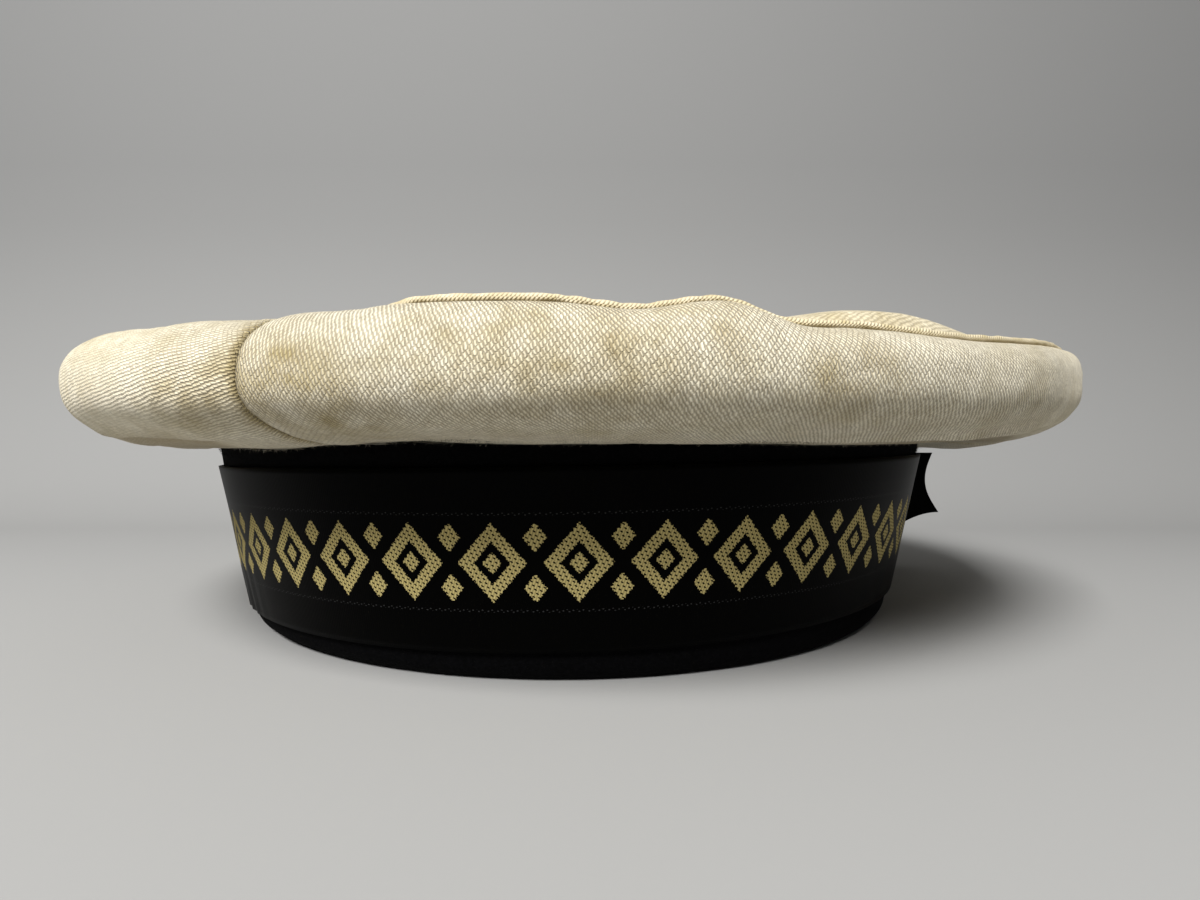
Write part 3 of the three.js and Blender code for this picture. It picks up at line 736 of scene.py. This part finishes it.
def crown_points(azimuth, reach, height):
    """Points of the crown, which sits a little to one side of the band."""
    points = around(azimuth, reach, height)
    share = smoothstep(reach, BAND_TOP_RADIUS - BAND_WALL, SHIFT_DONE_AT * CROWN_RADIUS)
    points[..., 0] += CROWN_SHIFT * share
    return points


def outward_of(points):
    """Outward normals of a grid whose columns run round and whose rows run up."""
    across = np.gradient(points, axis=1)
    normals = np.cross(across, np.gradient(points, axis=0))
    return normals / np.linalg.norm(normals, axis=-1, keepdims=True)


def twill_cloth(name, grain, depth):
    """Aged cotton twill: slanting ridges of short thread floats, worn, yellowed and spotted, with painted
    shade between the threads.
    """
    material, tree, shader = new_surface(name, COTTON_COLOUR, 0.85, 0.15)
    shader.inputs["Sheen Weight"].default_value = 0.15
    shader.inputs["Sheen Roughness"].default_value = 0.6
    uv, along, up = uv_pair(tree)
    line = math.radians(grain)
    drift = add_node(tree, "ShaderNodeTexNoise", {"Vector": uv, "Scale": 0.5, "Detail": 2.0})
    drift = calc(tree, "MULTIPLY_ADD", drift.outputs["Fac"], 1.0, -0.5)
    jitter = add_node(tree, "ShaderNodeTexNoise", {"Vector": uv, "Scale": 1.6, "Detail": 1.0})
    drift = calc(tree, "MULTIPLY_ADD", jitter.outputs["Fac"], 0.5, drift)
    across = calc(tree, "MULTIPLY_ADD", along, math.sin(line) / LINE_PITCH,
                  calc(tree, "MULTIPLY_ADD", up, -math.cos(line) / LINE_PITCH, drift))
    number = calc(tree, "FLOOR", across)
    run = calc(tree, "MULTIPLY_ADD", along, math.cos(line) / FLOAT_PITCH,
               calc(tree, "MULTIPLY", up, math.sin(line) / FLOAT_PITCH))
    run = calc(tree, "ADD", calc(tree, "MULTIPLY_ADD", number, -FLOAT_STEP, run), drift)
    in_float = calc(tree, "SUBTRACT", calc(tree, "FRACT", run), 0.5)
    off_middle = calc(tree, "SUBTRACT", calc(tree, "FRACT", across), 0.5)
    off_thread = calc(tree, "MULTIPLY_ADD", in_float, -FLOAT_LEAN, off_middle)
    thread = calc(tree, "MULTIPLY", off_thread, off_thread)
    thread = calc(tree, "MULTIPLY_ADD", thread, -THREAD_ROUNDNESS, 1.0)
    thread = calc(tree, "MAXIMUM", thread, 0.0)
    float_end = add_node(tree, "ShaderNodeMapRange",
                         {0: calc(tree, "ABSOLUTE", in_float), 1: 0.5, 2: 0.3, 3: 0.45, 4: 1.0},
                         interpolation_type="SMOOTHSTEP").outputs[0]
    ridge = calc(tree, "MULTIPLY", thread, float_end)
    wear = add_node(tree, "ShaderNodeAttribute", attribute_name="wear").outputs["Fac"]
    ridge = calc(tree, "MULTIPLY_ADD", calc(tree, "SUBTRACT", ridge, WORN_RIDGE),
                 calc(tree, "MULTIPLY_ADD", wear, -WEAR_FLATTENS, 1.0), WORN_RIDGE)
    each = add_node(tree, "ShaderNodeCombineXYZ", {0: number, 1: calc(tree, "FLOOR", run)})
    lustre = add_node(tree, "ShaderNodeTexWhiteNoise", {"Vector": each.outputs[0]}).outputs["Value"]
    speckle = add_node(tree, "ShaderNodeTexNoise",
                       {"Vector": uv, "Scale": 2.2, "Detail": 3.0, "Roughness": 0.7})
    height = calc(tree, "MULTIPLY_ADD", speckle.outputs["Fac"], 0.6, ridge)
    bump = add_node(tree, "ShaderNodeBump", {"Height": height, "Strength": 1.0, "Distance": depth * MM})
    tree.links.new(bump.outputs["Normal"], shader.inputs["Normal"])
    stain = add_node(tree, "ShaderNodeAttribute", attribute_name="stain").outputs["Fac"]
    grime = add_node(tree, "ShaderNodeAttribute", attribute_name="grime").outputs["Fac"]
    blotch = add_node(tree, "ShaderNodeTexNoise",
                      {"Vector": uv, "Scale": 0.12, "Detail": 5.0, "Roughness": 0.65})
    blotch = add_node(tree, "ShaderNodeMapRange", {0: blotch.outputs["Fac"], 1: 0.42, 2: 0.72}).outputs[0]
    stain = calc(tree, "MULTIPLY_ADD", blotch, 0.4, stain)
    # Stains, with painted shade on the left of the crown, from the mesh
    colour = mix_colours(tree, stain, COTTON_COLOUR, STAIN_AND_SHADE_COLOUR)
    # Mixes in dirt, and painted shadows on the underside, from the mesh
    colour = mix_colours(tree, grime, colour, GRIME_AND_SHADE_COLOUR)
    fleck = add_node(tree, "ShaderNodeTexNoise", {"Vector": uv, "Scale": 0.9, "Detail": 2.0})
    fleck = add_node(tree, "ShaderNodeMapRange", {0: fleck.outputs["Fac"], 1: 0.68, 2: 0.8}).outputs[0]
    colour = mix_colours(tree, calc(tree, "MULTIPLY", fleck, 0.35), colour, GRIME_AND_SHADE_COLOUR)
    # Painted shade: the hollows between the thread ridges are darkened towards the gap shade colour, with
    # a random darkening of each float
    hollow = calc(tree, "SUBTRACT", 1.0, ridge)
    shade = calc(tree, "MULTIPLY_ADD", lustre, LUSTRE, calc(tree, "MULTIPLY", hollow, TWILL_SHADE))
    colour = mix_colours(tree, shade, colour, GAP_SHADE_COLOUR)
    tree.links.new(colour, shader.inputs["Base Color"])
    return material


for number, side in enumerate(PANEL_NAMES):
    seam = FIRST_SEAM + number * PANEL_SPAN
    turns = np.linspace(0, PANEL_SPAN, PANEL_COLUMNS)
    azimuths = seam + turns
    reach, height, cloth_length = side_outline(azimuths)
    parting = np.degrees(CLEARANCE / 2 / reach) * (1 - turns / (PANEL_SPAN / 2))
    points = crown_points(azimuths[None, :] + parting, reach, height)
    normals = outward_of(points)
    from_first = np.radians(turns)[None, :] * reach
    from_last = np.radians(PANEL_SPAN - turns)[None, :] * reach
    from_seam = np.minimum(from_first, from_last)
    hem = smoothstep(cloth_length - cloth_length[:1], 0, HEM_FIRM)
    top_edge = smoothstep(cloth_length[-1:] - cloth_length, 0, TOP_EDGE_FIRM)
    rise = -SEAM_DEPTH * np.exp(-from_seam / SEAM_ROLL) * hem
    rise += HEM_RAGGED * wander(points, 0.9, 9) * (1 - hem)
    for lump_height, lump_size, seed in CLOTH_LUMPS:
        rise += lump_height * wander(points, lump_size, seed) * hem * top_edge
    gather = np.sin(cloth_length * 2 * math.pi / GATHER_PITCH + 2 * wander(points, 6, 4))
    rise += GATHER_DEPTH * gather * np.exp(-from_last / 3.0) * hem * top_edge
    rise += 0.4 * GATHER_DEPTH * gather * np.exp(-from_first / 2.0) * hem * top_edge
    points = points + normals * rise[..., None]
    flat_radius = CUT_RADIUS + cloth_length
    flat_angle = np.radians(turns - PANEL_SPAN / 2)[None, :] * CROWN_RADIUS / CUT_RADIUS
    cut_uv = np.stack([flat_radius * np.sin(flat_angle), flat_radius * np.cos(flat_angle)], axis=-1)
    # Stains, with painted shade on the left of the crown
    stain = np.zeros_like(reach)
    for at, rise_share, width, tall, strength in STAINS_AND_SHADE:
        spot = bell(turn_between(azimuths[None, :], at), width)
        stain += strength * spot * bell((height - CROWN_BASE) / CROWN_DEPTH - rise_share, tall)
    stain *= np.clip(0.65 + 0.9 * wander(points, 4, 6, 3), 0, 1.3)
    stain += 0.3 * np.clip(wander(points, 11, 12, 3), 0, 1)
    stain += 0.55 * np.exp(-(cloth_length[-1:] - cloth_length) / 2.0)
    stain += 0.75 * np.exp(-from_seam / 0.7)
    # Darker towards the bottom of the crown, and painted shadow on the underside behind each crease
    grime = 0.25 * (1 - smoothstep(height, CROWN_BASE, CROWN_BASE + 0.5 * CROWN_DEPTH))
    for at, spread, fold_reach, slant_of, _ in UNDER_CREASES:
        turned_off = turn_between(azimuths, at)
        behind = 1 - smoothstep(reach - fold_reach - slant_of * turned_off, -4, -1.5)
        behind = behind * bell(turned_off, 0.9 * spread) * (1 - smoothstep(height, *UNDERSIDE_ENDS))
        grime = grime + 0.85 * behind
    grime = np.clip(grime * (0.7 + 0.5 * wander(points, 15, 7)), 0, 1)
    # The twill is rubbed smooth at the far right, at the left and low down
    from_front = turn_between(azimuths[None, :], 0)
    below = 1 - smoothstep(height, CROWN_BASE + WORN_BELOW[0], CROWN_BASE + WORN_BELOW[1])
    at_left = 1 - smoothstep(from_front, *WORN_LEFT)
    wear = smoothstep(from_front, *WORN_RIGHT) + WORN_LEFT_STRENGTH * at_left
    wear = wear + below * (0.15 + 0.8 * at_left)
    wear = np.clip(wear, 0, 1)
    from_hem = cloth_length - cloth_length[:1]
    # Painted shadows in the hollows of the underside, in strips out from the hem
    for at, spread, starts, full, fades, ends, strength in UNDER_PAINTED_SHADOWS:
        strip = smoothstep(from_hem, starts, full) * (1 - smoothstep(from_hem, fades, ends))
        grime += strength * strip * bell(from_front - at, spread)
    grime = np.clip(grime, 0, 1)
    mesh = grid_mesh(f"{side}_panel_cloth", points * MM, False, cut_uv,
                     {"stain": np.clip(stain, 0, 1), "grime": grime, "wear": wear})
    cloth = twill_cloth(f"cotton_twill_{side}", GRAIN[side], TWILL_DEPTH)
    panel = place(mesh.name, mesh, cloth, "cotton_twill")
    add_wall(panel, PANEL_WALL)
    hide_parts(f"side_panel_{side}")


# Cotton fibres: short broken ends of thread that hang from the crown's underside near the band,
# with a little of the band's black nap clinging further out at the front.
FIBRE_COLOUR = (0.5, 0.46, 0.37)
FIBRE_DENSITY = 2.4e6
UNDER_NAP_DENSITY = 2.2e6
FIBRES_FROM = -70
fibre_cotton = new_surface("cotton_fibre", FIBRE_COLOUR, 0.9, 0.1)[0]
fibre_strand = strand_of("cotton_strand", length=1.2, thickness=0.08, bend=0.5, material=fibre_cotton)
fibre_azimuths = np.arange(FIBRES_FROM, -FIBRES_FROM, 1)
fibre_reach, fibre_height, fibre_length = side_outline(fibre_azimuths)


def underside_bed(name, near, far, first, last):
    """A strip of the crown's underside between two distances out from the band and two azimuths."""
    out = fibre_length - fibre_length[:1]
    columns = range(first - FIBRES_FROM, last - FIBRES_FROM)
    rows = []
    for along in (near, far):
        reach, height = [np.array([np.interp(along, out[:, n], values[:, n]) for n in columns])
                         for values in (fibre_reach, fibre_height)]
        rows.append(crown_points(np.arange(first, last), reach, height))
    return grid_mesh(name, np.array(rows) * MM, False)


fibre_bed = underside_bed("fibre_bed", near=3.5, far=6.0, first=-60, last=60)
fibres_hanging = scatter("cotton_fibres", fibre_bed, fibre_strand, density=FIBRE_DENSITY, tilt=1.1,
                         size=(-0.75, -0.1), seed=11)
under_nap_bed = underside_bed("under_nap_bed", near=11.0, far=18.0, first=-14, last=30)
nap_hanging = scatter("underside_nap", under_nap_bed, nap_strand, density=UNDER_NAP_DENSITY, tilt=1.2,
                      size=(-0.45, -0.15), seed=17)
place("underside_nap", nap_hanging, wool, "wool_cloth")
place("cotton_fibres", fibres_hanging, fibre_cotton, "cotton_twill")


# Crown top: the round top panel of the same twill, a little slack, so that it lies in low folds
# and stands up over the piping in one place at the front right.
TOP_DOME = 4.0
TOP_FULLNESS = 4
TOP_WEAR = 0.35
# Height, size and seed of the top's soft lumps
TOP_LUMPS = [(0.7, 32, 8), (0.12, 6, 9)]
TOP_FOLDS = [
    {"azimuth": 26, "reach": 0.925, "rise": 0.24, "spread": 7.5, "width": 0.08},
    {"azimuth": -35, "reach": 0.6, "rise": 0.09, "spread": 26, "width": 0.2},
    {"azimuth": 75, "reach": 0.7, "rise": -0.09, "spread": 16, "width": 0.2},
    {"azimuth": 130, "reach": 0.65, "rise": 0.08, "spread": 22, "width": 0.22},
    {"azimuth": -170, "reach": 0.7, "rise": -0.08, "spread": 20, "width": 0.2},
    {"azimuth": -105, "reach": 0.75, "rise": 0.07, "spread": 18, "width": 0.18},
]
top_azimuths = FIRST_SEAM + np.arange(0, 360, 1.25)
top_share = np.sin(np.linspace(math.pi / 2, 0, 64))[:, None]
welt_reach, welt_height, _ = welt(top_azimuths)
level = welt_height.mean() + (welt_height - welt_height.mean())[None, :] * top_share**2
dome = TOP_DOME * (1 - top_share**TOP_FULLNESS)
folds = 0
for fold in TOP_FOLDS:
    ridge = bell(turn_between(top_azimuths, fold["azimuth"]), fold["spread"])[None, :]
    folds = folds + CROWN_DEPTH * fold["rise"] * ridge * bell(top_share - fold["reach"], fold["width"])
folds = folds * smoothstep(top_share, 0, 0.3) * (1 - smoothstep(top_share, 0.96, 1))
top_reach = (welt_reach - CLEARANCE / 2)[None, :] * top_share
top_points = around(top_azimuths[None, :], top_reach, level + dome + folds)
top_points[..., 0] += CROWN_SHIFT
inside = 1 - smoothstep(top_share, 0.95, 1)
top_lumps = sum(lump_height * wander(top_points, lump_size, seed)
                for lump_height, lump_size, seed in TOP_LUMPS)
top_points[..., 2] += top_lumps * inside
top_stain = 0.36 + 0.3 * wander(top_points, 30, 10) + 0.3 * np.exp(-(1 - top_share) * 60)
top_grime = np.clip(0.15 * wander(top_points, 18, 11), 0, 1)
top_mesh = grid_mesh("crown_top_cloth", top_points * MM, True, None,
                     {"stain": np.clip(top_stain, 0, 1), "grime": top_grime, "wear": TOP_WEAR})
top_uv = top_mesh.uv_layers.new(name="cut")
corner_points = np.array([top_mesh.vertices[loop.vertex_index].co[:2] for loop in top_mesh.loops]) / MM
top_uv.data.foreach_set("uv", corner_points.reshape(-1).astype(np.float32))
top_cloth = twill_cloth("cotton_twill_top", GRAIN["top"], TWILL_DEPTH / 2)
top = place("crown_top_cloth", top_mesh, top_cloth, "cotton_twill")
add_wall(top, PANEL_WALL)
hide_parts("crown_top")


# Piping: a thin cord covered in bias-cut twill, so that its threads wind round it like a rope's.
# It stands on the seam between the side panels and the top.
PIPING_RADIUS = 0.68
PIPING_SIDES = 14
TWIST_PITCH = 3.8
CORD_THREAD = 0.62
CORD_SLANT = 1.1
CORD_SHADE = 0.24
# Painted shade in the grooves between the cord's windings
CORD_GAP_SHADE_COLOUR = (0.2, 0.14, 0.07)
PIPING_LOOP_RADIUS = 0.93 * CROWN_RADIUS
# How deep the cord's twist is: everywhere, and as much more where it is least worn
TWIST = 0.025
FRESH_TWIST = {"azimuth": -5, "spread": 9, "more": 0.08}
CORD_LUMP_SIZE = 5
CORD_LUMPS = 0.16
piping_azimuths = np.arange(0, 360, 0.25)
welt_reach, welt_height, _ = welt(piping_azimuths)
round_angles = np.radians(np.linspace(0, -360, PIPING_SIDES + 1))[:, None]
along_piping = np.radians(piping_azimuths) * PIPING_LOOP_RADIUS
fresh = bell(piping_azimuths - FRESH_TWIST["azimuth"], FRESH_TWIST["spread"])[None, :]
twist = TWIST + FRESH_TWIST["more"] * fresh
thread = twist * np.sin(2 * math.pi * along_piping / TWIST_PITCH + 2 * round_angles)
lump = around(piping_azimuths[None, :], CROWN_RADIUS + 4 * np.cos(round_angles), 4 * np.sin(round_angles))
piping_radii = PIPING_RADIUS - 0.05 + thread + CORD_LUMPS * wander(lump, CORD_LUMP_SIZE, 13)
piping_middle = welt_height + CLEARANCE + PIPING_RADIUS
piping_points = crown_points(piping_azimuths[None, :], welt_reach + piping_radii * np.cos(round_angles),
                             piping_middle + piping_radii * np.sin(round_angles))
once_round = np.append(along_piping, 2 * math.pi * PIPING_LOOP_RADIUS)[None, :]
piping_uv = np.stack(np.broadcast_arrays(once_round, -round_angles * PIPING_RADIUS), axis=-1)
cord_cloth, cord_tree, cord_shader = new_surface("piping_twill", PIPING_COLOUR, 0.8, 0.15)
cord_uv, cord_along, cord_round = uv_pair(cord_tree)
wind = calc(cord_tree, "MULTIPLY_ADD", cord_along, 1 / CORD_THREAD,
            calc(cord_tree, "MULTIPLY", cord_round, CORD_SLANT))
wind = calc(cord_tree, "SINE", calc(cord_tree, "MULTIPLY", wind, 2 * math.pi))
wind = calc(cord_tree, "MULTIPLY_ADD", wind, 0.5, 0.5)
cord_blotch = add_node(cord_tree, "ShaderNodeTexNoise", {"Vector": cord_uv, "Scale": 0.25, "Detail": 4.0})
cord_blotch = add_node(cord_tree, "ShaderNodeMapRange", {0: cord_blotch.outputs["Fac"], 1: 0.4, 2: 0.75})
cord_tone = mix_colours(cord_tree, cord_blotch.outputs[0], PIPING_COLOUR, STAIN_AND_SHADE_COLOUR)
# Painted shade: the grooves between the windings are darkened towards the gap shade colour
cord_gap_shade = calc(cord_tree, "MULTIPLY", calc(cord_tree, "SUBTRACT", 1.0, wind), CORD_SHADE)
cord_tone = mix_colours(cord_tree, cord_gap_shade, cord_tone, CORD_GAP_SHADE_COLOUR)
cord_tree.links.new(cord_tone, cord_shader.inputs["Base Color"])
cord_bump = add_node(cord_tree, "ShaderNodeBump", {"Height": wind, "Strength": 1.0, "Distance": 0.00012})
cord_tree.links.new(cord_bump.outputs["Normal"], cord_shader.inputs["Normal"])
piping_mesh = grid_mesh("piping_cord", piping_points * MM, True, piping_uv)
piping = place("piping_cord", piping_mesh, cord_cloth, "twill_piping")
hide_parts("piping")
